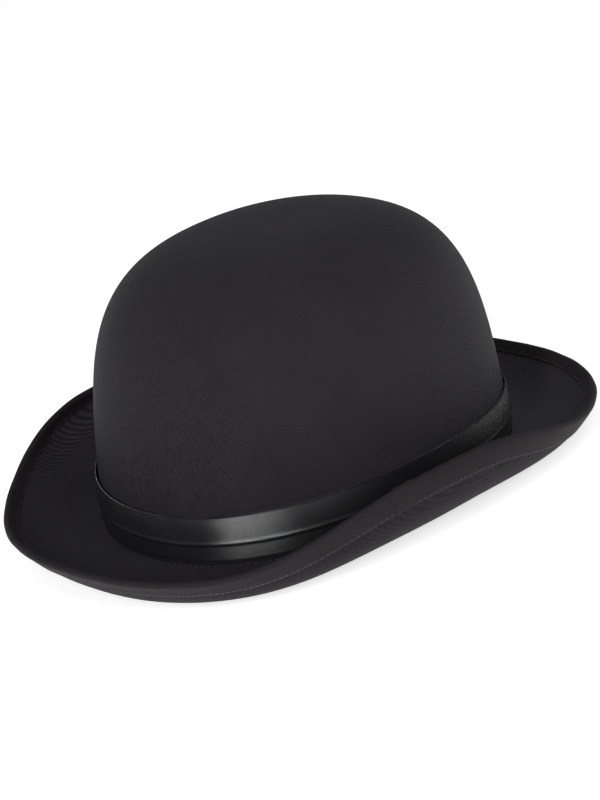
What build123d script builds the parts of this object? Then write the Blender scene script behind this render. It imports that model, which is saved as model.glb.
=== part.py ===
from build123d import *
import math
import os

# A bowler hat, cloth-covered and stiffened, as an assembly of its separate pieces.
# +X is the front, +Y the wearer's left, +Z up. The hat stands on the front and back
# of its brim, so z = 0 is the floor and x = 0, y = 0 the middle of the brim.
# All sizes are in millimetres.

os.makedirs("parts", exist_ok=True)

# ---- driving dimensions: the crown ----
CROWN_LEN = 105.8        # half length of the crown at its foot
CROWN_WID = 87.1         # half width of the crown at its foot
CROWN_OVAL = 2.15        # 2 is an ellipse, more is squarer
CROWN_TOP = 125.0        # height of the crown above its foot
CROWN_BACK = 1.0         # the crown stands this far behind the brim's middle
DOME_SHARP = 4.5         # higher keeps the wall upright for longer
DOME_FLAT = 3.34         # higher makes a flatter top
TAPER_LEN = 0.12         # the wall leans in, front and back
TAPER_WID = 0.09         # the wall leans in at the sides
SIDE_LIFT = 5.2          # the foot of the crown is this much higher at the sides

# ---- driving dimensions: the brim ----
RIM_LEN = 151.6          # half length to the core's edge
RIM_WID = 114.9          # half width to the core's edge
RIM_OVAL = 2.32
RIM_FRONT = 9.3          # height of the rim's edge above the crown's foot, at the front
RIM_BACK = 15.2          # the same at the back
RIM_SIDE = 35.3          # the same at the sides, where the brim is rolled up
ROLL_POWER = 2.6         # how the roll gathers at the sides
ROLL_SHARP = 5.3
ROLL_SHIFT = 0.21        # radians that the roll's highest point lies behind the middle
SLOPE_END = -0.30        # slope of the brim as it leaves the crown, front
SLOPE_BACK = -0.36       # and back
SLOPE_SIDE = 0.05        # and at the sides
ROOT_END, ROOT_SIDE = 0.65, 1.0         # share of the width that keeps that slope
CURL_END, CURL_SIDE = 44.0, 120.0       # degrees by which the edge turns up
EDGE_REACH = 0.21        # share of the width that the turned edge takes

# ---- driving dimensions: the layers ----
GAP = 0.05               # clearance between pieces that lie on each other
CORE = 1.4               # stiffened core of the crown and of the brim
CLOTH = 0.4              # satin cover
LINING = 0.3
SWEAT = 1.0              # sweatband
SWEAT_TALL = 32.0
TAPE = 0.5               # binding tape
TAPE_UNDER, TAPE_TOP = 9.0, 6.0         # width of the binding under and over the brim
WIRE = 1.6               # brim wire diameter
WIRE_BACK = 0.3          # the wire's middle lies this far inside the core's nominal edge
CORE_BACK = 1.4          # the core and covers stop this far inside it
RIBBON = 0.5             # hat band thickness
BAND_LOW, BAND_HIGH = 3.5, 23.0         # hat band edges above the crown's foot
REED = 1.8               # bead along the sweatband's lower edge
LINING_SPLIT = 84.0      # height of the seam between the lining's side and its tip
TIP_SHARE = 0.1          # the flat middle of the dome, as a share of the foot

SECTIONS = 32            # sections round the hat
HALF = CORE / 2 + GAP + CLOTH           # half thickness of the covered brim

# ---- how far inside the crown's outside each layer lies ----
SHELL_OUT = CLOTH + GAP
SHELL_IN = SHELL_OUT + CORE
LINING_OUT = SHELL_IN + GAP
LINING_IN = LINING_OUT + LINING
SWEAT_OUT = LINING_IN + GAP
SWEAT_IN = SWEAT_OUT + SWEAT
BRIM_IN = LINING_IN                     # the brim reaches in to the sweatband's back


def oval(t, a, b, n):
    """Point of a superellipse at the parameter t."""
    c, s = math.cos(t), math.sin(t)
    r = (abs(c) ** n + abs(s) ** n) ** (-1 / n)
    return a * c * r, b * s * r


def foot_height(t):
    return SIDE_LIFT * math.sin(t) ** 2


def roll(t):
    """0 at the front and back of the brim, 1 where its side is rolled up most."""
    turned = t - ROLL_SHIFT * math.sin(t)
    return (1 - abs(math.cos(turned)) ** ROLL_POWER) ** ROLL_SHARP


def mix(a, b, w):
    return a + (b - a) * w


class Spoke:
    """The brim's section at one angle: a cubic curve from the crown's foot to the rim."""

    def __init__(self, t):
        self.t = t
        w = roll(t)
        front = (1 + math.cos(t)) / 2
        bx, by = oval(t, CROWN_LEN, CROWN_WID, CROWN_OVAL)
        self.base = (bx - CROWN_BACK, by)
        rim = oval(t, RIM_LEN, RIM_WID, RIM_OVAL)
        self.wide = math.hypot(rim[0] - self.base[0], rim[1] - self.base[1])
        self.out = ((rim[0] - self.base[0]) / self.wide, (rim[1] - self.base[1]) / self.wide)
        self.slope = mix(mix(SLOPE_BACK, SLOPE_END, front), SLOPE_SIDE, w)
        curl = math.radians(mix(CURL_END, CURL_SIDE, w))
        reach = EDGE_REACH * self.wide
        rim_z = mix(mix(RIM_BACK, RIM_FRONT, front), RIM_SIDE, w)
        d1 = mix(ROOT_END, ROOT_SIDE, w) * self.wide
        z0 = foot_height(t) - HALF
        self.ctrl = [(0.0, z0),
                     (d1, z0 + self.slope * d1),
                     (self.wide - reach * math.cos(curl), rim_z - reach * math.sin(curl)),
                     (self.wide, rim_z)]
        self.steps = [i / 200 for i in range(201)]
        self.run = [0.0]
        last = self.curve(0.0)
        for s in self.steps[1:]:
            here = self.curve(s)
            self.run.append(self.run[-1] + math.dist(here, last))
            last = here

    def curve(self, s):
        k = ((1 - s) ** 3, 3 * s * (1 - s) ** 2, 3 * s * s * (1 - s), s ** 3)
        return (sum(a * c[0] for a, c in zip(k, self.ctrl)),
                sum(a * c[1] for a, c in zip(k, self.ctrl)))

    def tangent(self, s):
        k = (3 * (1 - s) ** 2, 6 * s * (1 - s), 3 * s * s)
        d = [(self.ctrl[i + 1][0] - self.ctrl[i][0], self.ctrl[i + 1][1] - self.ctrl[i][1])
             for i in range(3)]
        x = sum(a * v[0] for a, v in zip(k, d))
        z = sum(a * v[1] for a, v in zip(k, d))
        size = math.hypot(x, z)
        return x / size, z / size

    def share(self, back):
        """The curve's parameter at a run of back before its end."""
        goal = self.run[-1] - back
        i = max(j for j, r in enumerate(self.run) if r <= goal)
        if i == len(self.run) - 1:
            return 1.0
        part = (goal - self.run[i]) / (self.run[i + 1] - self.run[i])
        return (self.steps[i] + part * (self.steps[i + 1] - self.steps[i]))

    def place(self, d, z):
        return (self.base[0] + self.out[0] * d, self.base[1] + self.out[1] * d, z)

    def at(self, s, lift, ahead=0.0):
        """Point at s, lifted along the section's normal and moved ahead along it."""
        d, z = self.curve(s)
        tx, tz = self.tangent(s)
        return self.place(d - tz * lift + tx * ahead, z + tx * lift + tz * ahead)

    def inner(self, inset, lift):
        """Point of the brim inside the crown's wall, on the line that the curve starts with."""
        size = math.hypot(1, self.slope)
        x, y = oval(self.t, CROWN_LEN - inset, CROWN_WID - inset, CROWN_OVAL)
        z = foot_height(self.t) - HALF - self.slope * inset + lift * size
        return (x - CROWN_BACK, y, z)

    def seat(self, inset):
        """Height of the brim's top under the crown's wall, at a depth inside its outside."""
        return (foot_height(self.t) - HALF - self.slope * inset
                + HALF * math.hypot(1, self.slope))


def wall(t, z, inset):
    """Point of the crown's upright wall or shoulder at a height above the foot plane."""
    z0 = foot_height(t)
    zz = max(0.0, (z - z0) / (CROWN_TOP - inset - z0))
    g = (1 - zz ** DOME_SHARP) ** (1 / DOME_FLAT)
    return crown_point(t, zz, g, inset, z)


def crown_point(t, zz, g, inset, z):
    x, y = oval(t, (CROWN_LEN - inset) * g * (1 - TAPER_LEN * zz),
                (CROWN_WID - inset) * g * (1 - TAPER_WID * zz), CROWN_OVAL)
    return (x - CROWN_BACK, y, z)


def dome(t, low, inset, share=TIP_SHARE):
    """Points up the crown's outline at one angle, from the height low to the top's middle."""
    z0 = foot_height(t)
    tall = CROWN_TOP - inset - z0
    turn = 0.86                      # share of the height where the points go over to radii
    points = []
    for i in range(14):
        z = low + (z0 + turn * tall - low) * i / 13
        points.append(wall(t, z, inset))
    g0 = (1 - turn ** DOME_SHARP) ** (1 / DOME_FLAT)
    for j in range(1, 13):
        g = g0 + (share - g0) * j / 12
        zz = (1 - g ** DOME_FLAT) ** (1 / DOME_SHARP)
        if j == 12:
            zz = 1.0
        points.append(crown_point(t, zz, g, inset, z0 + tall * zz))
    return points


def strip(t, low, high, inset, count=6):
    """Points up the crown's wall between two heights."""
    return [wall(t, low + (high - low) * i / (count - 1), inset) for i in range(count)]


def angles(first=0.0, last=2 * math.pi, count=SECTIONS):
    return [first + (last - first) * i / count for i in range(count + 1)]


def closed(curve_a, curve_b):
    """A closed section from two open point rows that run the same way."""
    return Wire([Edge.make_spline(curve_a), Edge.make_line(curve_a[-1], curve_b[-1]),
                 Edge.make_spline(curve_b), Edge.make_line(curve_b[0], curve_a[0])])


def ring(section, count=SECTIONS):
    """A closed ring through the sections at equal angles, its last section the first one."""
    wires = [section(t) for t in angles(count=count)[:-1]]
    return Solid.make_loft(wires + [wires[0]])


def patch(first, last, low, high, inset, thick, count=7):
    """A flat-sectioned strip that lies along the crown's wall between two angles."""
    wires = []
    for t in angles(first, last, count - 1):
        ux, uy = Spoke(t).out
        corners = []
        for z in (low, high):
            x, y, _ = wall(t, z, inset)
            corners.append([(x - k * ux, y - k * uy, z) for k in (0, thick)])
        (a, b), (c, d) = corners
        wires.append(Wire([Edge.make_line(a, c), Edge.make_line(c, d),
                           Edge.make_line(d, b), Edge.make_line(b, a)]))
    return Solid.make_loft(wires)


def tube(centre, radius, count=SECTIONS):
    """A thin closed ring of round section: centre gives its middle and a level direction."""
    def section(t):
        (x, y, z), (ux, uy) = centre(t)
        rim = []
        for k in range(8):
            side, rise = radius * math.cos(k * math.pi / 4), radius * math.sin(k * math.pi / 4)
            rim.append((x + side * ux, y + side * uy, z + rise))
        rim.append(rim[0])
        return Wire([Edge.make_three_point_arc(*rim[k:k + 3]) for k in (0, 2, 4, 6)])
    return ring(section, count)


def brim_layer(low, high):
    """A layer of the brim between two lifts from its middle surface."""
    def section(t):
        spoke = Spoke(t)
        end = spoke.share(CORE_BACK)
        rows = []
        for lift in (low, high):
            rows.append([spoke.inner(BRIM_IN, lift)] + [spoke.at(end * i / 12, lift) for i in range(13)])
        return closed(*rows)
    return ring(section)


brim_under = brim_layer(-HALF, -CORE / 2 - GAP)
STAND = -brim_under.bounding_box().min.Z     # the brim's lowest point comes to the floor


def save(name, shape):
    shape = shape.moved(Location((0, 0, STAND)))
    shape.label = name
    export_step(shape, f"parts/{name}.step")


# ---- the crown ----

def capped(section, outer, thick):
    """A domed ring with its flat middle filled, at the top of the layer whose inset is outer."""
    body = ring(section)
    edge = max((e for e in body.edges() if e.bounding_box().min.Z > CROWN_TOP - outer - 0.01),
               key=lambda e: e.length)
    return body + Solid.extrude(Face(Wire([edge])), Vector(0, 0, -thick))


def domed(low, outer, thick):
    """A layer of the crown from a height, or from the brim where low is None, to its top."""
    def section(t):
        rows = []
        for inset in (outer, outer + thick):
            rows.append(dome(t, Spoke(t).seat(inset) + GAP if low is None else low, inset))
        return closed(*rows)
    return capped(section, outer, thick)


def upright(high, outer, thick):
    """A layer of the crown's side from the brim to a height."""
    def section(t):
        rows = []
        for inset in (outer, outer + thick):
            rows.append(strip(t, Spoke(t).seat(inset) + GAP, high, inset, 9))
        return closed(*rows)
    return ring(section)


save("crown_cover", domed(None, 0.0, CLOTH))
save("crown_shell", domed(None, SHELL_OUT, CORE))
save("lining_side", upright(LINING_SPLIT, LINING_OUT, LINING))
save("lining_tip", domed(LINING_SPLIT + GAP, LINING_OUT, LINING))

# ---- the sweatband and what is sewn to it ----

def sweat_foot(t):
    return foot_height(t) - 2 * HALF


def sweatband(t):
    low, high = sweat_foot(t), foot_height(t) + SWEAT_TALL
    return closed(strip(t, low, high, SWEAT_OUT), strip(t, low, high, SWEAT_IN))


def reed_centre(t):
    x, y, z = wall(t, foot_height(t), (SWEAT_OUT + SWEAT_IN) / 2)
    return (x, y, sweat_foot(t) - GAP - REED / 2), Spoke(t).out


JOIN_HALF = 0.085        # half the angle of the sweatband's joining patch, at the back
JOIN = 0.6
JOIN_LOW, JOIN_HIGH = 6.0, SWEAT_TALL - 1.0
LABEL_HALF = 0.13        # half the angle of the blank size label, at the back
LABEL = 0.3
LABEL_LOW, LABEL_HIGH = 38.0, 56.0


def back_patch(half, low, high, inset, thick):
    # the wall leans in, so the patch stands on the clearance that its straight section needs
    return patch(math.pi - half, math.pi + half, low, high, inset + 3 * GAP, thick)


save("sweatband", ring(sweatband))
save("sweatband_reed", tube(reed_centre, REED / 2))
save("sweatband_join", back_patch(JOIN_HALF, JOIN_LOW, JOIN_HIGH, SWEAT_IN, JOIN))
save("size_label", back_patch(LABEL_HALF, LABEL_LOW, LABEL_HIGH, LINING_IN, LABEL))

# ---- the brim ----

def binding(t):
    """The tape folded over the rim: two legs and a round nose, as one closed section."""
    spoke = Spoke(t)
    near = HALF + GAP
    far = near + TAPE
    under, top = spoke.share(TAPE_UNDER), spoke.share(TAPE_TOP)

    def leg(start, lift):
        return [spoke.at(start + (1 - start) * i / 4, lift) for i in range(5)]

    edges = []
    for lift, turned in ((far, False), (near, True)):
        low, high = leg(under, -lift), leg(top, lift)
        edges += [Edge.make_spline(low), Edge.make_spline(high),
                  Edge.make_three_point_arc(low[-1], spoke.at(1.0, 0.0, lift), high[-1])]
    edges += [Edge.make_line(spoke.at(under, -far), spoke.at(under, -near)),
              Edge.make_line(spoke.at(top, far), spoke.at(top, near))]
    return Wire.combine(edges)[0]


def wire_centre(t):
    spoke = Spoke(t)
    return spoke.at(1.0, 0.0, -WIRE_BACK), spoke.out


save("brim_board", brim_layer(-CORE / 2, CORE / 2))
save("brim_top_cover", brim_layer(CORE / 2 + GAP, HALF))
save("brim_under_cover", brim_under)
save("brim_binding", ring(binding))
save("brim_wire", tube(wire_centre, WIRE / 2))

# ---- the hat band and its bow ----

BAND_OUT = 3 * GAP                      # the band stands this far off the crown
BOW_MID = math.pi / 2                   # the bow sits on the wearer's left


def hat_band(t):
    foot = foot_height(t)
    return closed(strip(t, foot + BAND_LOW, foot + BAND_HIGH, -BAND_OUT),
                  strip(t, foot + BAND_LOW, foot + BAND_HIGH, -BAND_OUT - RIBBON))


save("hat_band", ring(hat_band))

BOW_LOW = SIDE_LIFT + BAND_LOW + 1.0
BOW_HIGH = SIDE_LIFT + BAND_HIGH - 1.0
TAIL_OFF = BAND_OUT + RIBBON + 2 * GAP  # the tails lie on the band
LOOP_OFF = TAIL_OFF + RIBBON + 2 * GAP  # the loops lie on the tails
LOOP_FULL = 5.0                         # how far a loop bulges from the tails
LOOP_END, TAIL_END = 0.27, 0.31         # angle from the bow's middle to the ends
KNOT_HALF = 0.055                       # half the angle under the knot


def bow_point(t, off):
    """Point in plan that stands off the crown's wall at the bow's lower edge."""
    x, y, _ = wall(t, BOW_LOW, -off)
    return (x, y, BOW_LOW)


def loop(side):
    """A folded loop of ribbon seen in plan as a hairpin, on one side of the knot."""
    spots = [(KNOT_HALF, 0), (0.12, 0), (0.20, 0), (LOOP_END - 0.03, 0.25), (LOOP_END, 1.9),
             (LOOP_END - 0.03, 3.6), (0.19, LOOP_FULL), (0.12, 0.8 * LOOP_FULL), (KNOT_HALF, 1.9)]

    def outline(shrink):
        points = []
        for angle, off in spots:
            at_fold = angle == LOOP_END
            nearer = 0.0 if at_fold else math.copysign(shrink, off - 1.0)
            turn = angle - (shrink / CROWN_LEN if at_fold else 0.0)
            points.append(bow_point(BOW_MID + side * turn, LOOP_OFF + off - nearer))
        return points

    outer, inner = outline(0.0), outline(RIBBON)
    return Solid.extrude(Face(closed(outer, inner)), Vector(0, 0, BOW_HIGH - BOW_LOW))


def tail(side):
    """A flat end of ribbon under its loop, with a notch cut in it."""
    ends = (BOW_MID + side * (KNOT_HALF + 0.01), BOW_MID + side * TAIL_END)
    strip_end = patch(min(ends), max(ends), BOW_LOW + 0.5, BOW_HIGH - 2.0, -TAIL_OFF - RIBBON, RIBBON)
    tip = bow_point(BOW_MID + side * TAIL_END, TAIL_OFF)
    high = BOW_HIGH - BOW_LOW
    notch = Solid.extrude(Face(Wire.make_polygon([
        (tip[0] - side * 1.0, tip[1] + 9, tip[2] - 2.0),
        (tip[0] - side * 1.0, tip[1] + 9, tip[2] + high),
        (tip[0] + side * 5.0, tip[1] + 9, tip[2] + high / 2 - 1)])), Vector(0, -18, 0))
    return strip_end - notch


def knot():
    """The strip that wraps the bow's middle, open towards the band."""
    x, y, _ = bow_point(BOW_MID, LOOP_OFF)
    face_y, back_y = y + 3.2, y - 0.5
    low, high = BOW_LOW - 0.8, BOW_HIGH + 0.8
    wide = 2 * KNOT_HALF * CROWN_LEN
    shape = Wire.make_polygon([
        (x - wide / 2, back_y, low), (x - wide / 2, face_y, low), (x - wide / 2, face_y, high),
        (x - wide / 2, back_y, high), (x - wide / 2, back_y, high - RIBBON),
        (x - wide / 2, face_y - RIBBON, high - RIBBON), (x - wide / 2, face_y - RIBBON, low + RIBBON),
        (x - wide / 2, back_y, low + RIBBON)])
    return Solid.extrude(Face(shape), Vector(wide, 0, 0))


save("band_bow_loop_front", loop(-1))
save("band_bow_loop_back", loop(1))
save("band_bow_tail_front", tail(-1))
save("band_bow_tail_back", tail(1))
save("band_bow_knot", knot())
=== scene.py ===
import math
import bpy
import numpy as np
from mathutils import Matrix, Vector


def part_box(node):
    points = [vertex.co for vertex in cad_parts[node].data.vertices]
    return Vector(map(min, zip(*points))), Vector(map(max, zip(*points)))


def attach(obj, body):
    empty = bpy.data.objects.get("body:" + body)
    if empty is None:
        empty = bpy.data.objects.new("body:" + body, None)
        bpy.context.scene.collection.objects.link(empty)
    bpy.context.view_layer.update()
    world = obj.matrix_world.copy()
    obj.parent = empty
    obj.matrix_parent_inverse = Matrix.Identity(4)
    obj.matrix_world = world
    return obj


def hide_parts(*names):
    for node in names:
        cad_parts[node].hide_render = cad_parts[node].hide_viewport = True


# A black bowler hat covered in satin, with a rolled brim, a taped rim, a glossy band
# with a flat bow, a sweatband and a lining. Shapes are worked out in millimetres and
# put into the meshes in metres. +X is the front, +Y the wearer's left, +Z up.

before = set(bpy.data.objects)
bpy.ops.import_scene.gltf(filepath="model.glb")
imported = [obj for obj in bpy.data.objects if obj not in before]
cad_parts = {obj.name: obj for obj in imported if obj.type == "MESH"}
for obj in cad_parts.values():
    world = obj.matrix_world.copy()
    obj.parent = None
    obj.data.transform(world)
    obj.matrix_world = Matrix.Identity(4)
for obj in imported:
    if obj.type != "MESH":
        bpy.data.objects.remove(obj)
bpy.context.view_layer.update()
MM = 0.001

# ---- the hat's driving dimensions, the same as the CAD model's ----
CROWN_LEN, CROWN_WID, CROWN_OVAL = 105.8, 87.1, 2.15
CROWN_TOP, CROWN_BACK = 125.0, 1.0
DOME_SHARP, DOME_FLAT = 4.5, 3.34
TAPER_LEN, TAPER_WID = 0.12, 0.09
SIDE_LIFT = 5.2
RIM_LEN, RIM_WID, RIM_OVAL = 151.6, 114.9, 2.32
RIM_FRONT, RIM_BACK, RIM_SIDE = 9.3, 15.2, 35.3
ROLL_POWER, ROLL_SHARP, ROLL_SHIFT = 2.6, 5.3, 0.21
SLOPE_END, SLOPE_BACK, SLOPE_SIDE = -0.30, -0.36, 0.05
ROOT_END, ROOT_SIDE = 0.65, 1.0
CURL_END, CURL_SIDE, EDGE_REACH = 44.0, 120.0, 0.21
GAP, CORE, CLOTH, LINING, SWEAT, TAPE = 0.05, 1.4, 0.4, 0.3, 1.0, 0.5
SWEAT_TALL = 32.0
TAPE_UNDER, TAPE_TOP = 9.0, 6.0
CORE_BACK = 1.4
RIBBON = 0.5
BAND_LOW, BAND_HIGH = 3.5, 23.0
LINING_SPLIT = 84.0
HALF = CORE / 2 + GAP + CLOTH
SHELL_IN = CLOTH + GAP + CORE
LINING_OUT = SHELL_IN + GAP
LINING_IN = LINING_OUT + LINING
SWEAT_OUT = LINING_IN + GAP
SWEAT_IN = SWEAT_OUT + SWEAT
TAU = 2 * math.pi
DOME_TURN, DOME_ROWS = 0.86, 0.62  # height share, and share of rows, where the dome turns inwards
STITCH_IN = 1.2                    # the binding's stitches run this far inside its edges
TAPE_DIP, TAPE_FADE = 0.35, 0.5    # a tape's cut edge lies this much lower, over this run
TAPE_CREASE = 0.12                 # depth of the crease that the stitches pull into the tape
SEAM_COUNT, RIM_COUNT, SWEAT_COUNT, PICOT_COUNT = 190, 330, 230, 560
SHARP_DEGREES = 55                 # edges that turn more than this are drawn sharp
# mean radii at which tapes and linings are measured round the hat for their UVs
RIM_MEAN, SWEAT_MEAN, LINING_MEAN, BAND_MEAN, TAIL_MEAN = 135.0, 94.0, 95.0, 98.0, 100.0

# height of the crown's foot above the floor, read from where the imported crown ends
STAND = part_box("crown_cover")[1].z / MM - CROWN_TOP


# ---------------------------------------------------------------- shapes by formula

def oval(t, a, b, n):
    """Superellipse: the distance from the middle is (|cos|^n + |sin|^n)^(-1/n)."""
    c, s = np.cos(t), np.sin(t)
    r = (np.abs(c) ** n + np.abs(s) ** n) ** (-1 / n)
    return a * c * r, b * s * r


def foot_height(t):
    """The crown's foot rises from 0 at front and back to SIDE_LIFT at the sides, as sine squared."""
    return SIDE_LIFT * np.sin(t) ** 2


def mix(a, b, w):
    """Linear mix of a and b by the share w."""
    return a + (b - a) * w


def spoke(t):
    """Control points of the brim's cubic section at the angles t, as (distance out, height)."""
    turned = t - ROLL_SHIFT * np.sin(t)
    w = (1 - np.abs(np.cos(turned)) ** ROLL_POWER) ** ROLL_SHARP
    front = (1 + np.cos(t)) / 2
    bx, by = oval(t, CROWN_LEN, CROWN_WID, CROWN_OVAL)
    bx = bx - CROWN_BACK
    rx, ry = oval(t, RIM_LEN, RIM_WID, RIM_OVAL)
    wide = np.hypot(rx - bx, ry - by)
    slope = mix(mix(SLOPE_BACK, SLOPE_END, front), SLOPE_SIDE, w)
    curl = np.radians(mix(CURL_END, CURL_SIDE, w))
    reach = EDGE_REACH * wide
    rim = mix(mix(RIM_BACK, RIM_FRONT, front), RIM_SIDE, w)
    d1 = mix(ROOT_END, ROOT_SIDE, w) * wide
    z0 = foot_height(t) - HALF
    d = np.stack([0 * t, d1, wide - reach * np.cos(curl), wide], -1)
    z = np.stack([z0, z0 + slope * d1, rim - reach * np.sin(curl), rim], -1)
    return bx, by, (rx - bx) / wide, (ry - by) / wide, d, z, slope


def bezier(c, s):
    """Cubic Bernstein sum of four control values along the last axis of c."""
    return ((1 - s) ** 3 * c[..., 0] + 3 * s * (1 - s) ** 2 * c[..., 1]
            + 3 * s * s * (1 - s) * c[..., 2] + s ** 3 * c[..., 3])


def bezier_slope(c, s):
    """Derivative of the cubic Bernstein sum."""
    return 3 * ((1 - s) ** 2 * (c[..., 1] - c[..., 0]) + 2 * s * (1 - s) * (c[..., 2] - c[..., 1])
                + s * s * (c[..., 3] - c[..., 2]))


def brim(t, s, lift, ahead=0.0):
    """Point of the brim: the section's curve at s, plus its normal times lift and its
    tangent times ahead. Below s = 0 the curve goes on in a straight line inside the crown."""
    bx, by, ox, oy, cd, cz, slope = spoke(t)
    inside = np.minimum(s, 0.0)
    sp = np.maximum(s, 0.0)
    d, z = bezier(cd, sp), bezier(cz, sp)
    td, tz = bezier_slope(cd, sp), bezier_slope(cz, sp)
    size = np.hypot(td, tz)
    td, tz = td / size, tz / size
    d = d + inside - tz * lift * (s >= 0) + td * ahead
    z = z + slope * inside + np.where(s >= 0, td * lift, lift * np.hypot(1, slope)) + tz * ahead
    return np.stack([bx + ox * d, by + oy * d, z], -1)


def share(t, back):
    """Parameter of the brim's curve at a run of back before its end, found on a fine table."""
    _, _, _, _, cd, cz, _ = spoke(t)
    s = np.linspace(0, 1, 301)
    d, z = bezier(cd[..., None, :], s), bezier(cz[..., None, :], s)
    run = np.concatenate([0 * d[..., :1], np.cumsum(np.hypot(np.diff(d), np.diff(z)), -1)], -1)
    goal = run[..., -1:] - back
    i = np.clip((run <= goal).sum(-1, keepdims=True) - 1, 0, 299)
    a, b = np.take_along_axis(run, i, -1), np.take_along_axis(run, i + 1, -1)
    return ((i + (goal - a) / (b - a)) / 300)[..., 0]


def wall(t, z, inset):
    """Point of the crown's side at a height: the foot's oval times (1 - h^4.5)^(1/3.34),
    h the share of the height, and times the taper, which is linear in h."""
    z0 = foot_height(t)
    h = np.clip((z - z0) / (CROWN_TOP - inset - z0), 0, 1)
    return crown_at(t, h, (1 - h ** DOME_SHARP) ** (1 / DOME_FLAT), inset, z)


def crown_at(t, h, g, inset, z):
    """Point of the crown at a height z: the oval scaled by g and by the taper at the share h."""
    x, y = oval(t, (CROWN_LEN - inset) * g * (1 - TAPER_LEN * h),
                (CROWN_WID - inset) * g * (1 - TAPER_WID * h), CROWN_OVAL)
    return np.stack([x - CROWN_BACK, y, z + 0 * x], -1)


def dome(t, low, inset, rows, end=0.0):
    """The crown from the height low to its top: even heights to DOME_TURN of the way up, then
    even steps of the oval's size down to end, with the height from the same formula."""
    z0 = foot_height(t)
    tall = CROWN_TOP - inset - z0
    k = np.linspace(0, 1, rows)
    split = k < DOME_ROWS
    z = low + (z0 + DOME_TURN * tall - low) * np.minimum(k / DOME_ROWS, 1)
    h = np.clip((z - z0) / tall, 0, 1)
    g0 = (1 - DOME_TURN ** DOME_SHARP) ** (1 / DOME_FLAT)
    g_top = g0 + (end - g0) * np.clip((k - DOME_ROWS) / (1 - DOME_ROWS), 0, 1)
    g = np.where(split, (1 - h ** DOME_SHARP) ** (1 / DOME_FLAT), g_top)
    h = np.where(split, h, (1 - g_top ** DOME_FLAT) ** (1 / DOME_SHARP))
    return crown_at(t, h, g, inset, z0 + tall * h)


def seat(t, inset):
    """Height of the brim's top under the crown's wall, at a depth inside its outside."""
    slope = spoke(t)[-1]
    return foot_height(t) - HALF - slope * inset + HALF * np.hypot(1, slope)


def round_hat(count, first=0.0, last=TAU, wrap=True):
    """Angles round the hat as a column, evenly spaced."""
    return np.linspace(first, last, count, endpoint=not wrap)[:, None]


# ---------------------------------------------------------------- meshes from grids

def build(name, verts, quads, tris, uv, material):
    """Makes a mesh from millimetre points and face rows, turned outwards, smooth, with its UVs."""
    mesh = bpy.data.meshes.new(name)
    verts = verts + [0, 0, STAND]
    volume = 0.0
    for face in (quads[:, [0, 1, 2]], quads[:, [0, 2, 3]], tris):
        volume += (verts[face[:, 0]] * np.cross(verts[face[:, 1]], verts[face[:, 2]])).sum()
    if volume < 0:
        quads, tris = quads[:, ::-1], tris[:, ::-1]
    mesh.from_pydata((verts * MM).tolist(), [], quads.tolist() + tris.tolist())
    layer = mesh.uv_layers.new(name="cloth")
    loops = np.empty(len(mesh.loops), np.int32)
    mesh.loops.foreach_get("vertex_index", loops)
    layer.data.foreach_set("uv", uv[loops].astype(np.float32).ravel())
    mesh.polygons.foreach_set("use_smooth", np.ones(len(mesh.polygons), bool))
    mesh.materials.append(material)
    mesh.update()
    mesh.validate()
    mesh.set_sharp_from_angle(angle=math.radians(SHARP_DEGREES))
    piece = bpy.data.objects.new(name, mesh)
    bpy.context.scene.collection.objects.link(piece)
    return piece


def grid(name, points, material, uv=None, around=True, across=True, caps=(False, False)):
    """A surface from an (m, n, 3) array. around joins the last column to the first, across
    the last row to the first, and caps closes the ends of the rows with one point each."""
    m, n, _ = points.shape
    ids = np.arange(m * n).reshape(m, n)
    if around:
        ids = np.concatenate([ids, ids[:1]], 0)
    if across:
        ids = np.concatenate([ids, ids[:, :1]], 1)
    quads = np.stack([ids[:-1, :-1], ids[1:, :-1], ids[1:, 1:], ids[:-1, 1:]], -1).reshape(-1, 4)
    verts = points.reshape(-1, 3)
    uv = (points[..., :2] * MM if uv is None else uv * np.ones((m, n, 1))).reshape(-1, 2)
    tris = np.zeros((0, 3), int)
    for end, wanted in enumerate(caps):
        if not wanted:
            continue
        row = ids[:, -1 if end else 0]
        middle = len(verts)
        verts = np.vstack([verts, points[:, -1 if end else 0].mean(0)])
        uv = np.vstack([uv, uv[row[:m]].mean(0)])
        fan = np.stack([row[:-1], row[1:], np.full(len(row) - 1, middle)], -1)
        tris = np.vstack([tris, fan[:, ::-1] if end == 0 else fan])
    return build(name, verts, quads, tris, uv, material)


def slab(name, face, back, material, uv):
    """A closed sheet between two (m, n, 3) faces whose points match, with quads along all
    four edges."""
    m, n, _ = face.shape
    top = np.arange(m * n).reshape(m, n)
    low = top + m * n

    def between(a, b, c, d):
        return np.stack([a.ravel(), b.ravel(), c.ravel(), d.ravel()], -1)

    quads = [between(top[:-1, :-1], top[1:, :-1], top[1:, 1:], top[:-1, 1:]),
             between(low[:-1, :-1], low[:-1, 1:], low[1:, 1:], low[1:, :-1])]
    for row, under in ((top[:, 0], low[:, 0]), (top[-1], low[-1]),
                       (top[::-1, -1], low[::-1, -1]), (top[0, ::-1], low[0, ::-1])):
        quads.append(between(row[:-1], under[:-1], under[1:], row[1:]))
    uv = np.concatenate([uv.reshape(-1, 2)] * 2)
    verts = np.concatenate([face.reshape(-1, 3), back.reshape(-1, 3)])
    return build(name, verts, np.concatenate(quads), np.zeros((0, 3), int), uv, material)


def thicken(face, thick):
    """The back of a sheet: its face moved by thick against the normal, the cross product of
    its two directions."""
    normal = np.cross(np.gradient(face, axis=0), np.gradient(face, axis=1))
    return face - thick * normal / np.linalg.norm(normal, axis=-1, keepdims=True)


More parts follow.
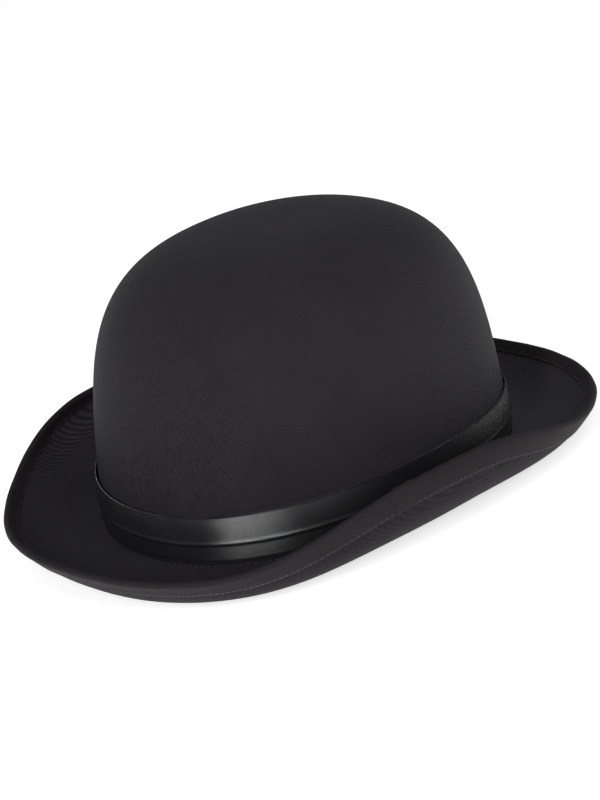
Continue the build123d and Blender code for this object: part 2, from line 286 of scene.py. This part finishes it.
def ripple(t, z, size, seed, waves=7):
    """Slow unevenness of hand-formed cloth: a sum of sines round and up the hat."""
    rng = np.random.default_rng(seed)
    out = 0.0
    for _ in range(waves):
        k = rng.integers(1, 8)
        around = np.sin(k * t + rng.uniform(0, TAU))
        upwards = np.sin(z * rng.uniform(0.02, 0.07) + rng.uniform(0, TAU))
        out = out + around * upwards
    return size * out / waves ** 0.5


# ---------------------------------------------------------------- materials

def linear(code):
    """sRGB hex to a linear colour."""
    c = np.array([int(code[i:i + 2], 16) for i in (1, 3, 5)]) / 255
    c = np.where(c <= 0.04045, c / 12.92, ((c + 0.055) / 1.055) ** 2.4)
    return (*[float(v) for v in c], 1.0)


def add(tree, kind, settings=None, **links):
    """A node with its settings and its links: a link's name is the input's, with _ for a
    space, or _ and the input's number."""
    n = tree.nodes.new(kind)
    for key, value in (settings or {}).items():
        if key in n.inputs:
            n.inputs[key].default_value = value
        else:
            setattr(n, key, value)
    for key, source in links.items():
        target = n.inputs[int(key[1:])] if key[1:].isdigit() else n.inputs[key.replace("_", " ")]
        tree.links.new(source, target)
    return n


def blank(name):
    """A new material and its empty node tree."""
    material = bpy.data.materials.new(name)
    material.use_nodes = True
    tree = material.node_tree
    tree.nodes.clear()
    return material, tree


def cloth(name, dark, light, rough, sheen, rib_mm, rib_depth, grain_mm, grain_depth,
          specular=0.5, turn=0.0, anisotropic=0.0, sheen_tint="#8a8894"):
    """Woven cloth: ribs across the UV map and grain as bump, and a slow change of colour between dark and
    light.
    Its scale is in millimetres of the UV map."""
    material, tree = blank(name)
    uv = add(tree, "ShaderNodeUVMap", {"uv_map": "cloth"})
    place = add(tree, "ShaderNodeMapping", {"Rotation": (0, 0, turn), "Scale": (1000, 1000, 1000)},
                Vector=uv.outputs[0])
    ribs = add(tree, "ShaderNodeTexWave", {"bands_direction": "Y", "Scale": TAU / 20 / rib_mm,
                                           "Distortion": 1.2, "Detail": 2.0, "Detail Scale": 0.6},
               Vector=place.outputs[0])
    grain = add(tree, "ShaderNodeTexNoise", {"Scale": 1 / grain_mm, "Detail": 3.0, "Roughness": 0.65},
                Vector=place.outputs[0])
    cloud = add(tree, "ShaderNodeTexNoise", {"Scale": 1 / 38.0, "Detail": 2.0}, Vector=place.outputs[0])
    tone = add(tree, "ShaderNodeMix", {"data_type": "FLOAT", "Factor": 0.7},
               _2=cloud.outputs[0], _3=grain.outputs[0])
    woven = add(tree, "ShaderNodeMix", {"data_type": "FLOAT", "Factor": 0.3},
                _2=tone.outputs[0], _3=ribs.outputs[1])
    colour = add(tree, "ShaderNodeValToRGB", None, Fac=woven.outputs[0])
    colour.color_ramp.elements[0].position = 0.40
    colour.color_ramp.elements[0].color = linear(dark)
    colour.color_ramp.elements[1].position = 0.60
    colour.color_ramp.elements[1].color = linear(light)
    first = add(tree, "ShaderNodeBump", {"Strength": rib_depth, "Distance": 0.0006}, Height=ribs.outputs[1])
    second = add(tree, "ShaderNodeBump", {"Strength": grain_depth, "Distance": 0.0010},
                 Height=grain.outputs[0], Normal=first.outputs[0])
    shader = add(tree, "ShaderNodeBsdfPrincipled",
                 {"Roughness": rough, "Specular IOR Level": specular, "Sheen Weight": sheen,
                  "Sheen Roughness": 0.45, "Sheen Tint": linear(sheen_tint), "Anisotropic": anisotropic,
                  "Anisotropic Rotation": 0.25 if anisotropic else 0.0},
                 Base_Color=colour.outputs[0], Normal=second.outputs[0])
    if anisotropic:
        # the long threads run with the map's U, so the light spreads across them
        threads = add(tree, "ShaderNodeTangent", {"direction_type": "UV_MAP", "uv_map": "cloth"})
        tree.links.new(threads.outputs[0], shader.inputs["Tangent"])
    add(tree, "ShaderNodeOutputMaterial", None, Surface=shader.outputs[0])
    return material


# laminated black polyester satin, matt side out: dull, with a faint purple cast and fine ribs
SATIN = cloth("laminated_polyester_satin", "#110f13", "#2b272e", 0.60, 0.015, 1.1, 0.6, 0.6, 1.0,
              specular=0.17)
# the same satin on the brim's top in lighter tones: painted light, standing in for light caught on its ribs,
# so that it reads against the crown
BRIM_SATIN_PAINTED_LIGHT = cloth("laminated_satin_brim_painted_light", "#141217", "#2f2b32", 0.60, 0.02, 1.1, 0.5, 0.6, 0.9,
                   specular=0.2)
# the same satin where it faces down and out, in darker tones than the crown's: painted shade on the
# underside, with a slightly warmer sheen
UNDER = cloth("laminated_satin_underside_painted_shade", "#0d0a0d", "#1b161b", 0.62, 0.01, 1.1, 0.12, 0.55, 0.8,
              specular=0.10, sheen_tint="#9a8c96")
# bias-cut satin tape folded over the rim: softest sheen, ribs run slantwise
TAPE_CLOTH = cloth("bias_satin_tape", "#0f0c0f", "#1e191d", 0.62, 0.02, 1.0, 0.12, 0.5, 0.7,
                   specular=0.13, turn=0.7, sheen_tint="#a0929c")
# glossy acetate ribbon with its long threads on the face: bright streaks across the band
RIBBON_CLOTH = cloth("glossy_satin_ribbon", "#0d0d0e", "#19191c", 0.26, 0.0, 0.7, 0.05, 0.40, 0.22,
                     specular=0.8, anisotropic=0.78)
# dull grosgrain tape for the sweatband
SWEAT_CLOTH = cloth("grosgrain_sweatband", "#151416", "#201f21", 0.75, 0.15, 1.6, 0.6, 0.6, 0.3)
# thin lining taffeta, shinier than the cover
LINING_CLOTH = cloth("lining_taffeta", "#0e0e11", "#17171b", 0.42, 0.1, 1.4, 0.25, 0.6, 0.3)
# white woven label with nothing on it
LABEL_CLOTH = cloth("woven_label", "#b9b7b0", "#d0cec7", 0.7, 0.1, 0.8, 0.4, 0.5, 0.3)
# polyester sewing thread: slightly shiny, a touch lighter than the cloth it sinks into
THREAD = cloth("polyester_thread", "#26242a", "#37353c", 0.45, 0.1, 0.6, 0.2, 0.4, 0.3)
# stiffened wool felt of the hidden cores
FELT = cloth("stiffened_felt", "#322e2e", "#463f3e", 0.9, 0.3, 2.4, 0.1, 0.7, 0.8)


def spring_wire():
    """Drawn steel wire: metal with fine streaks along its pull."""
    material, tree = blank("drawn_spring_wire")
    place = add(tree, "ShaderNodeTexCoord")
    streak = add(tree, "ShaderNodeTexNoise", {"Scale": 900.0, "Detail": 2.0}, Vector=place.outputs["Object"])
    bump = add(tree, "ShaderNodeBump", {"Strength": 0.2, "Distance": 0.0001}, Height=streak.outputs[0])
    shader = add(tree, "ShaderNodeBsdfPrincipled",
                 {"Base Color": linear("#9a9a9c"), "Metallic": 1.0, "Roughness": 0.35},
                 Normal=bump.outputs[0])
    add(tree, "ShaderNodeOutputMaterial", None, Surface=shader.outputs[0])
    return material


STEEL = spring_wire()


def finish_piece(piece, slot, *nodes):
    """Fixes a piece to the hat and hides the CAD nodes that it stands for. The slot is not used."""
    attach(piece, "root")
    if nodes:
        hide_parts(*nodes)
    return piece


# ---------------------------------------------------------------- the crown

def draped(points, top):
    """UVs of cloth pulled over the dome: distance down from the middle, laid out by direction,
    so that the ribs run along the hat and lie level on its sides."""
    x, y = points[..., 0] + CROWN_BACK, points[..., 1]
    r = np.hypot(x, y)
    down = r + (top - points[..., 2])
    direction = np.arctan2(y / CROWN_WID, x / CROWN_LEN)
    return np.stack([down * np.cos(direction), down * np.sin(direction)], -1) * MM


def crown_cover():
    """Satin over the dome, closed through its underside, with slow unevenness above the band."""
    t = round_hat(384)
    outer = dome(t, seat(t, 0.0) + GAP, 0.0, 120, end=0.004)
    inner = dome(t, seat(t, CLOTH) + GAP, CLOTH, 60, end=0.004)
    shape = np.concatenate([inner[:, ::-1], outer], 1)
    bulge = ripple(t, outer[..., 2], 0.22, 3) * np.clip((outer[..., 2] - 26) / 20, 0, 1)
    away = outer[..., :2] + [CROWN_BACK, 0]
    size = np.linalg.norm(away, axis=-1, keepdims=True)
    shape[:, 60:, :2] += away / np.maximum(size, 1) * bulge[..., None] * np.clip(size / 40, 0, 1)
    piece = grid("crown_satin", shape, SATIN, draped(shape, CROWN_TOP), across=False, caps=(True, True))
    finish_piece(piece, "satin_cover", "crown_cover")


def lining():
    """The lining's side, gathered by a sine towards its top, and its tip under the dome."""
    t = round_hat(256)
    side_low = seat(t, LINING_OUT) + GAP
    k = np.linspace(0, 1, 40)
    z = side_low + (LINING_SPLIT - side_low) * k
    outer = wall(t, z, LINING_OUT)
    gather = 0.25 + 0.25 * np.sin(46 * t) * k ** 2
    inner = wall(t, z, LINING_IN)
    pleated = inner.copy()
    away = inner[..., :2] + [CROWN_BACK, 0]
    pleated[..., :2] -= away / np.linalg.norm(away, axis=-1, keepdims=True) * (gather - 0.2)[..., None]
    shape = np.concatenate([outer, pleated[:, ::-1]], 1)
    uv = np.stack([t * LINING_MEAN + 0 * shape[..., 2], shape[..., 2]], -1) * MM
    side = finish_piece(grid("lining_side_cloth", shape, LINING_CLOTH, uv), "lining", "lining_side")
    outer = dome(t, LINING_SPLIT + GAP, LINING_OUT, 60, end=0.004)
    inner = dome(t, LINING_SPLIT + GAP, LINING_IN, 60, end=0.004)
    shape = np.concatenate([outer[:, ::-1], inner], 1)
    tip = grid("lining_tip_cloth", shape, LINING_CLOTH, None, across=False, caps=(True, True))
    finish_piece(tip, "lining", "lining_tip")


# ---------------------------------------------------------------- the brim

def brim_covers():
    """The brim's felt board and the satin above and below it, one layer of the section each."""
    t = round_hat(420)
    end = share(t, CORE_BACK)
    k = np.concatenate([[-LINING_IN], np.linspace(0, 1, 56)])
    s = np.where(k < 0, k, k * end)
    for name, slot, node, low, high, look in (
            ("brim_board_felt", "stiff_core", "brim_board", -CORE / 2, CORE / 2, FELT),
            # the brim top's satin is a lighter copy of the crown's: painted light
            ("brim_top_satin", "satin_cover", "brim_top_cover", CORE / 2 + GAP, HALF, BRIM_SATIN_PAINTED_LIGHT),
            # the underside's satin is a darker copy of the crown's: painted shade
            ("brim_under_satin", "satin_under", "brim_under_cover", -HALF, -CORE / 2 - GAP, UNDER)):
        shape = np.concatenate([brim(t, s, low), brim(t, s, high)[:, ::-1]], 1)
        piece = finish_piece(grid(name, shape, look), slot, node)


NEAR, FAR = HALF + GAP, HALF + GAP + TAPE
LAP_AT = math.radians(249.5)        # the binding's ends overlap here, low on the right side
LAP_HALF = 0.035


def binding_section(t, near, far, under, top):
    """The folded tape: out along the underside, round the nose by sine and cosine, back over
    the top, and the same again closer in, so that the section closes on itself."""
    s_under, s_top = share(t, under), share(t, top)
    k, j = np.linspace(0, 1, 14), np.linspace(0, 1, 10)
    turn = np.linspace(-math.pi / 2, math.pi / 2, 11)[1:-1]
    soft = far - TAPE_DIP * np.exp(-((k * under) / TAPE_FADE) ** 2)
    below = soft - TAPE_CREASE * np.exp(-((k * under - STITCH_IN) / TAPE_FADE) ** 2)
    above = far - TAPE_DIP * np.exp(-(((1 - j) * top) / TAPE_FADE) ** 2)
    one = np.ones_like(t)
    rows = [brim(t, s_under + (1 - s_under) * k, -below * one),
            brim(t, one, far * np.sin(turn), far * np.cos(turn)),
            brim(t, 1 - (1 - s_top) * j, above * one),
            brim(t, s_top + (1 - s_top) * j, near * one),
            brim(t, one, near * np.sin(turn[::-1]), near * np.cos(turn[::-1])),
            brim(t, 1 - (1 - s_under) * k, -near * one)]
    return np.concatenate(rows, 1)


def along(t, shape, radius=RIM_MEAN):
    """UVs for a tape: run round the hat one way, run across the section the other."""
    step = np.linalg.norm(np.diff(shape, axis=1), axis=-1)
    run = np.concatenate([0 * step[:, :1], np.cumsum(step, 1)], 1)
    return np.stack([t * radius + 0 * run, run], -1) * MM


def binding():
    """The tape round the rim, slightly uneven, and the lap where its two ends meet."""
    t = round_hat(480)
    wave = 0.10 * np.sin(31 * t) * np.sin(7 * t + 1)
    shape = binding_section(t, NEAR, FAR + wave, TAPE_UNDER, TAPE_TOP)
    piece = grid("rim_binding_tape", shape, TAPE_CLOTH, along(t, shape))
    finish_piece(piece, "binding", "brim_binding")
    t = round_hat(15, LAP_AT - LAP_HALF, LAP_AT + LAP_HALF, wrap=False)
    edge = np.clip((LAP_HALF - np.abs(t - LAP_AT)) / 0.008, 0, 1)
    shape = binding_section(t, FAR + 0.02 + 0 * t, FAR + 0.1 + 0.35 * edge,
                            TAPE_UNDER - 0.3, TAPE_TOP - 0.3)
    half = shape.shape[1] // 2
    face = shape[:, :half]
    lap = slab("rim_binding_lap", face, shape[:, :half - 1:-1], TAPE_CLOTH, along(t, face))
    finish_piece(lap, "binding")


# ---------------------------------------------------------------- stitches

SIDES, RINGS = 6, 5                # of each stitch


def stitches(name, start, end, normal, radius, material, slot):
    """Small bulged capsules from start to end, half sunk: six sides and five rings each,
    the ring's size a sine of the way along. Two quads close the hexagon at each end."""
    k = np.linspace(0, 1, RINGS)
    a = np.arange(SIDES) * TAU / SIDES
    run = end - start
    axis = run / np.linalg.norm(run, axis=-1, keepdims=True)
    up = normal - (normal * axis).sum(-1, keepdims=True) * axis
    up /= np.linalg.norm(up, axis=-1, keepdims=True)
    side = np.cross(axis, up)
    size = radius * np.sin(np.pi * (0.08 + 0.84 * k)) ** 0.6
    centre = start[:, None] + run[:, None] * k[:, None]
    ringed = (centre[:, :, None] + size[None, :, None, None]
              * (np.cos(a)[:, None] * side[:, None, None] + np.sin(a)[:, None] * up[:, None, None]))
    n = len(start)
    verts = ringed.reshape(-1, 3)
    ids = np.arange(n * RINGS * SIDES).reshape(n, RINGS, SIDES)
    nxt = np.roll(ids, -1, axis=2)
    quads = np.stack([ids[:, :-1], nxt[:, :-1], nxt[:, 1:], ids[:, 1:]], -1).reshape(-1, 4)
    ends = [ids[:, 0, [3, 2, 1, 0]], ids[:, 0, [5, 4, 3, 0]],
            ids[:, -1, [0, 1, 2, 3]], ids[:, -1, [0, 3, 4, 5]]]
    quads = np.concatenate([quads] + ends)
    piece = build(name, verts, quads, np.zeros((0, 3), int), verts[:, :2] * MM, material)
    return finish_piece(piece, slot)


def dashes(count, fill, path):
    """Start and end points of count even stitches, each fill of its pitch long, on a path
    of angle."""
    a = np.arange(count) * TAU / count
    return path(a), path(a + fill * TAU / count)


def sewing():
    """The rows of stitches at the foot of the crown, along the binding and round the sweatband."""
    def seam(a):
        t = a[:, None]
        p = wall(t, seat(t, 0.0) + 0.55, -0.12)
        return p[:, 0]

    def outward(a):
        _, _, ox, oy, _, _, _ = spoke(a)
        return np.stack([ox, oy, 0.3 + 0 * ox], -1)

    a, b = dashes(SEAM_COUNT, 0.62, seam)
    up = outward(np.arange(SEAM_COUNT) * TAU / SEAM_COUNT)
    stitches("brim_seam_stitches", a, b, up, 0.22, THREAD, "satin_cover")

    for name, width, side in (("binding_stitches_under", TAPE_UNDER, -1),
                              ("binding_stitches_top", TAPE_TOP, 1)):
        def row(a):
            return brim(a, share(a, width - STITCH_IN), side * (FAR - 0.02))
        a, b = dashes(RIM_COUNT, 0.66, row)
        at = np.arange(RIM_COUNT) * TAU / RIM_COUNT
        s = share(at, width - STITCH_IN)
        up = brim(at, s, side * 9.0) - brim(at, s, 0.0)
        stitches(name, a, b, up, 0.17, THREAD, "binding")

    def sweat_row(a):
        t = a[:, None]
        return wall(t, foot_height(t) + 2.6, SWEAT_IN - 0.02)[:, 0]
    a, b = dashes(SWEAT_COUNT, 0.6, sweat_row)
    up = -outward(np.arange(SWEAT_COUNT) * TAU / SWEAT_COUNT)
    stitches("sweatband_stitches", a, b, up, 0.22, THREAD, "sweatband")


# ---------------------------------------------------------------- the sweatband and what it carries

REED = 1.8                         # thickness of the cord in the sweatband's lower edge
PATCH_OFF = 0.15                   # a patch stands this far off what it is sewn to
PATCH_HEM = 1.2                    # its stitches stop this far from its top and foot
JOIN_HALF, JOIN, JOIN_LOW, JOIN_HIGH = 0.085, 0.6, 6.0, 31.0
LABEL_HALF, LABEL, LABEL_LOW, LABEL_HIGH = 0.13, 0.3, 38.0, 56.0


def sweatband():
    """The tape inside the crown, slack towards its top, and the corded edge below it."""
    t = round_hat(320)
    k = np.linspace(0, 1, 30)
    low = foot_height(t) - 2 * HALF
    z = low + (foot_height(t) + SWEAT_TALL - low) * k
    edge = 0.3 * np.maximum(np.exp(-(k / 0.03) ** 2), np.exp(-((1 - k) / 0.03) ** 2))
    slack = 0.25 * k ** 2 * (np.sin(5 * t + 1) + 0.6 * np.sin(13 * t))
    outer = wall(t, z, SWEAT_OUT + edge)
    inner = wall(t, z, SWEAT_IN - edge + np.maximum(slack, -0.2))
    shape = np.concatenate([outer, inner[:, ::-1]], 1)
    piece = grid("sweatband_tape", shape, SWEAT_CLOTH, along(t, shape, SWEAT_MEAN))
    finish_piece(piece, "sweatband", "sweatband")

    # the reed: a round cord inside the band's lower edge, its cover drawn in by each stitch
    a = np.arange(12) * TAU / 12
    _, _, ox, oy, _, _, _ = spoke(t)
    middle = wall(t, foot_height(t), (SWEAT_OUT + SWEAT_IN) / 2)
    radius = REED / 2 * (0.95 + 0.05 * np.cos(SWEAT_COUNT * t))
    rise = foot_height(t) - 2 * HALF - GAP - REED / 2 + radius * np.sin(a)
    reach = radius * np.cos(a)
    cord = np.stack([middle[..., 0] + reach * ox, middle[..., 1] + reach * oy, rise], -1)
    piece = grid("sweatband_reed_cord", cord, SWEAT_CLOTH, along(t, cord, SWEAT_MEAN))
    finish_piece(piece, "sweatband", "sweatband_reed")


def sewn_patch(name, node, slot, half, low, high, inset, thick, look, count):
    """A flat patch on the back of the crown's inside, thinner towards its edges, with a row of
    stitches down each end."""
    u = np.linspace(-1, 1, 28)[:, None]
    v = np.linspace(0, 1, 22)
    t = math.pi + half * u
    z = low + (high - low) * v + 0 * t
    soft = 0.12 * np.maximum(np.abs(u) ** 12, np.abs(2 * v - 1) ** 12)
    under, over = inset + PATCH_OFF, inset + PATCH_OFF + thick
    face = wall(t, z, over - soft + 0.05 * np.sin(9 * u + 6 * v))
    uv = np.stack([t * LINING_MEAN + 0 * z, z], -1) * MM
    piece = finish_piece(slab(name, face, wall(t, z, under + soft), look, uv), slot, node)

    at = np.repeat([[math.pi - 0.82 * half], [math.pi + 0.82 * half]], count, 0)
    step = (high - low - 2 * PATCH_HEM) / count
    start = low + PATCH_HEM + step * np.tile(np.arange(count), 2)[:, None]
    a, b = (wall(at, start + rise, over - 0.02)[:, 0] for rise in (0.0, 0.62 * step))
    inwards = -np.concatenate([a[:, :2] + [CROWN_BACK, 0], 0 * a[:, :1]], 1)
    stitches(name + "_stitches", a, b, inwards, 0.16, THREAD, slot)


# ---------------------------------------------------------------- the band and its bow

PLEAT = 10.3                       # the band's fold, this far above the crown's foot
TAUT = 0.16                        # the band lies this far off the crown


def band_off(t, k):
    """How far the band's face stands off the crown: flat, with a rounded lip where the upper
    fold laps over the lower part, and slightly loose at the back and front."""
    h = BAND_LOW + (BAND_HIGH - BAND_LOW) * k
    lip = 0.55 / (1 + np.exp(-(h - PLEAT) / 0.16))
    roll = 0.28 * np.exp(-((h - PLEAT - 0.8) / 0.9) ** 2)
    slack = (0.9 * np.exp(-((t - math.pi) / 0.5) ** 2) * k ** 2
             + 0.5 * np.exp(-((t - 5.35) / 0.22) ** 2) * np.sin(math.pi * np.clip(k, 0, 1)) ** 2)
    return TAUT + RIBBON + lip + roll + slack + 0.08 * np.sin(9 * t + 4 * k) * np.sin(5 * t)


def hat_band():
    """The ribbon round the crown, with small loops of thread standing out along both edges."""
    t = round_hat(480)
    k = np.linspace(0, 1, 46)
    foot = foot_height(t)
    z = foot + BAND_LOW + (BAND_HIGH - BAND_LOW) * k
    off = band_off(t, k)
    outer = wall(t, z, 0.0)
    away = outer[..., :2] + [CROWN_BACK, 0]
    away /= np.linalg.norm(away, axis=-1, keepdims=True)
    inner = outer.copy()
    outer[..., :2] += away * off[..., None]
    inner[..., :2] += away * (off - RIBBON)[..., None]
    shape = np.concatenate([outer, inner[:, ::-1]], 1)
    uv = np.stack([t * BAND_MEAN + 0 * shape[..., 2], shape[..., 2]], -1) * MM
    piece = finish_piece(grid("hat_band_ribbon", shape, RIBBON_CLOTH, uv), "ribbon", "hat_band")

    a = np.arange(PICOT_COUNT) * TAU / PICOT_COUNT

    def edge(high):
        at = a[:, None]
        kk = np.array([1.0 if high else 0.0])
        z = foot_height(at) + (BAND_HIGH if high else BAND_LOW)
        p = wall(at, z, 0.0)[:, 0]
        out = p[:, :2] + [CROWN_BACK, 0]
        out /= np.linalg.norm(out, axis=-1, keepdims=True)
        p[:, :2] += out * (band_off(at, kk)[:, 0:1] - 0.25)
        return p, np.concatenate([out, 0 * out[:, :1]], -1)

    for name, high in (("hat_band_picots_top", True), ("hat_band_picots_low", False)):
        p, out = edge(high)
        rise = np.array([0, 0, 0.75 if high else -0.75])
        stitches(name, p - rise * 0.3, p + rise, out, 0.26, RIBBON_CLOTH, "ribbon")


BOW_MID = math.pi / 2
BOW_LOW, BOW_HIGH = SIDE_LIFT + BAND_LOW + 1.0, SIDE_LIFT + BAND_HIGH - 1.0
KNOT_HALF, LOOP_END, TAIL_END = 0.055, 0.27, 0.31
TAIL_OFF, LOOP_OFF = 1.85, 2.55    # how far the tails and the loops lie off the crown
LOOP_FULL = 4.2
NOTCH = 5.0


def bow_loop(side, end):
    """A folded loop in plan: the angle goes out and back as the root of a sine, the distance
    off the crown as half a cosine, and the ribbon is gathered in pleats at the knot."""
    phi = np.linspace(0.0, math.pi, 64)[:, None]
    v = np.linspace(0, 1, 26)
    reach = np.sin(phi) ** 0.5
    near = np.exp(-(reach / 0.45) ** 2)
    turn = KNOT_HALF * 0.4 + (LOOP_END - KNOT_HALF * 0.4) * reach
    off = LOOP_OFF + LOOP_FULL / 2 * (1 - np.cos(phi)) * (1 - 0.55 * near * (phi > math.pi / 2))
    off = off + 0.28 * near * np.sin(3 * TAU * v + side) + 0.06 * np.sin(5 * phi + 4 * v)
    half = (BOW_HIGH - BOW_LOW) / 2 * (1 - 0.24 * near)
    z = (BOW_LOW + BOW_HIGH) / 2 + half * (2 * v - 1)
    face = wall(BOW_MID + side * turn, z, -off)
    run = np.linspace(0, 48, 64)[:, None]
    uv = np.stack([run + 0 * z, z], -1) * MM
    name = f"bow_loop_ribbon_{end}"
    inner = thicken(face, -side * RIBBON)
    piece = finish_piece(slab(name, face, inner, RIBBON_CLOTH, uv), "ribbon", f"band_bow_loop_{end}")


def bow_tail(side, end):
    """A flat end of ribbon with a notch: its length goes linearly to the middle of the notch."""
    u = np.linspace(0, 1, 40)[:, None]
    v = np.linspace(0, 1, 25)
    low, high = BOW_LOW + 0.5, BOW_HIGH - 2.0
    last = TAIL_END - NOTCH / CROWN_LEN * (1 - np.abs(2 * v - 1))
    turn = KNOT_HALF * 0.5 + (last - KNOT_HALF * 0.5) * u
    z = low + (high - low) * v + 0 * u
    off = TAIL_OFF + 0.5 * u ** 3 + 0.12 * np.sin(5 * u + 3 * v)
    face = wall(BOW_MID + side * turn, z, -off)
    uv = np.stack([side * turn * TAIL_MEAN, z], -1) * MM
    back = thicken(face, -side * 0.8 * RIBBON)
    piece = finish_piece(slab(f"bow_tail_ribbon_{end}", face, back, RIBBON_CLOTH, uv), "ribbon",
                         f"band_bow_tail_{end}")


def bow_knot():
    """The strip round the bow's middle: a rounded C from a superellipse, drawn in at the waist,
    with soft pleats across it."""
    x, back = wall(np.array([[BOW_MID]]), np.array([[BOW_LOW]]), -(TAIL_OFF - 0.3))[0, 0, :2]
    u = np.linspace(-1, 1, 34)[:, None]
    phi = np.linspace(-math.pi / 2, math.pi / 2, 60)
    deep = 4.6 + 0.22 * np.cos(3 * math.pi * u)
    tall = (BOW_HIGH - BOW_LOW) / 2 * (0.86 + 0.1 * u ** 2)
    wide = KNOT_HALF * CROWN_LEN * (0.9 + 0.1 * np.sin(phi) ** 2)
    c, s = np.cos(phi), np.sin(phi)
    y = back + deep * np.abs(c) ** 0.4
    z = (BOW_LOW + BOW_HIGH) / 2 + tall * np.sign(s) * np.abs(s) ** 0.5
    face = np.stack([x + wide * u, y + 0 * u, z + 0 * u], -1)
    inner = np.stack([x + wide * u, y - RIBBON * np.abs(c) ** 0.4 + 0 * u,
                      z - RIBBON * np.sign(s) * np.abs(s) ** 0.5], -1)
    uv = np.stack([np.linspace(0, 28, 60) + 0 * u, x + wide * u], -1) * MM
    piece = finish_piece(slab("bow_knot_ribbon", face, inner, RIBBON_CLOTH, uv), "ribbon", "band_bow_knot")


crown_cover()
lining()
sweatband()
sewn_patch("sweatband_join_patch", "sweatband_join", "sweatband", JOIN_HALF, JOIN_LOW, JOIN_HIGH,
           SWEAT_IN, JOIN, SWEAT_CLOTH, 11)
sewn_patch("blank_size_label", "size_label", "label", LABEL_HALF, LABEL_LOW, LABEL_HIGH,
           LINING_IN, LABEL, LABEL_CLOTH, 9)
brim_covers()
binding()
hat_band()
for side, end in ((-1, "front"), (1, "back")):
    bow_loop(side, end)
    bow_tail(side, end)
bow_knot()
sewing()

for node, look in (("crown_shell", FELT), ("brim_wire", STEEL)):
    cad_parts[node].data.materials[0] = look


# ---------------------------------------------------------------- camera, floor and lights

AZ, EL, ROLL = math.radians(-43.3), math.radians(20.6), math.radians(9.0)
DISTANCE = 0.989
SENSOR, LENS = 36.0, 94.68         # millimetres
AIM_HIGH = 45.0                    # the point that the camera circles, above the crown's foot
AIM_RIGHT, AIM_DOWN = 1.551, 8.132  # millimetres from that point to where the camera looks
WORLD_LIGHT, FLOOR_GLOW = 0.42, 0.55
FLOOR_HALF = 6.0                   # metres


def studio():
    """A camera on a sphere round the hat, a pale floor, an even world and three soft lights."""
    scene = bpy.context.scene
    back = Vector((math.sin(AZ) * math.cos(EL), -math.cos(AZ) * math.cos(EL), math.sin(EL)))
    level = Vector((math.cos(AZ), math.sin(AZ), 0))
    upright = level.cross(-back)
    right = level * math.cos(ROLL) - upright * math.sin(ROLL)
    up = level * math.sin(ROLL) + upright * math.cos(ROLL)
    target = Vector((-CROWN_BACK, 0, AIM_HIGH + STAND)) * MM
    place = target + back * DISTANCE
    look = target + (right * AIM_RIGHT - up * AIM_DOWN) * MM
    away = (place - look).normalized()
    side = up.cross(away).normalized()
    data = bpy.data.cameras.new("camera")
    data.sensor_width = SENSOR
    data.lens = LENS
    camera = bpy.data.objects.new("camera", data)
    axes = Matrix((side, away.cross(side), away)).transposed().to_4x4()
    camera.matrix_world = Matrix.Translation(place) @ axes
    scene.collection.objects.link(camera)
    scene.camera = camera

    scene.view_settings.view_transform = "Standard"
    world = bpy.data.worlds.new("studio")
    scene.world = world
    world.use_nodes = True
    world.node_tree.nodes["Background"].inputs[0].default_value = (1, 1, 1, 1)
    world.node_tree.nodes["Background"].inputs[1].default_value = WORLD_LIGHT

    floor_mesh = bpy.data.meshes.new("floor")
    corners = [(x * FLOOR_HALF, y * FLOOR_HALF, 0) for x, y in ((-1, -1), (1, -1), (1, 1), (-1, 1))]
    floor_mesh.from_pydata(corners, [], [(0, 1, 2, 3)])
    floor = bpy.data.objects.new("floor", floor_mesh)
    scene.collection.objects.link(floor)
    paper, tree = blank("white_paper")
    shader = add(tree, "ShaderNodeBsdfPrincipled",
                 {"Base Color": linear("#f4f4f4"), "Roughness": 0.9,
                  "Emission Color": (1, 1, 1, 1), "Emission Strength": FLOOR_GLOW})
    add(tree, "ShaderNodeOutputMaterial", None, Surface=shader.outputs[0])
    floor_mesh.materials.append(paper)

    for name, az, height, far, wide, tall, power in (
            ("strip", -61, 0.35, 1.2, 0.12, 0.8, 15.0),
            ("fill", -12, 0.8, 1.6, 0.5, 0.8, 9.0),
            ("top", 60, 1.6, 1.2, 1.2, 1.2, 3.0)):
        light = bpy.data.lights.new(name, "AREA")
        light.shape = "RECTANGLE"
        light.size, light.size_y, light.energy = wide, tall, power
        lamp = bpy.data.objects.new(name, light)
        a = math.radians(az)
        lamp.location = (math.sin(a) * far, -math.cos(a) * far, height)
        lamp.rotation_euler = (Vector((0, 0, 0.05)) - lamp.location).to_track_quat("-Z", "Y").to_euler()
        scene.collection.objects.link(lamp)


studio()
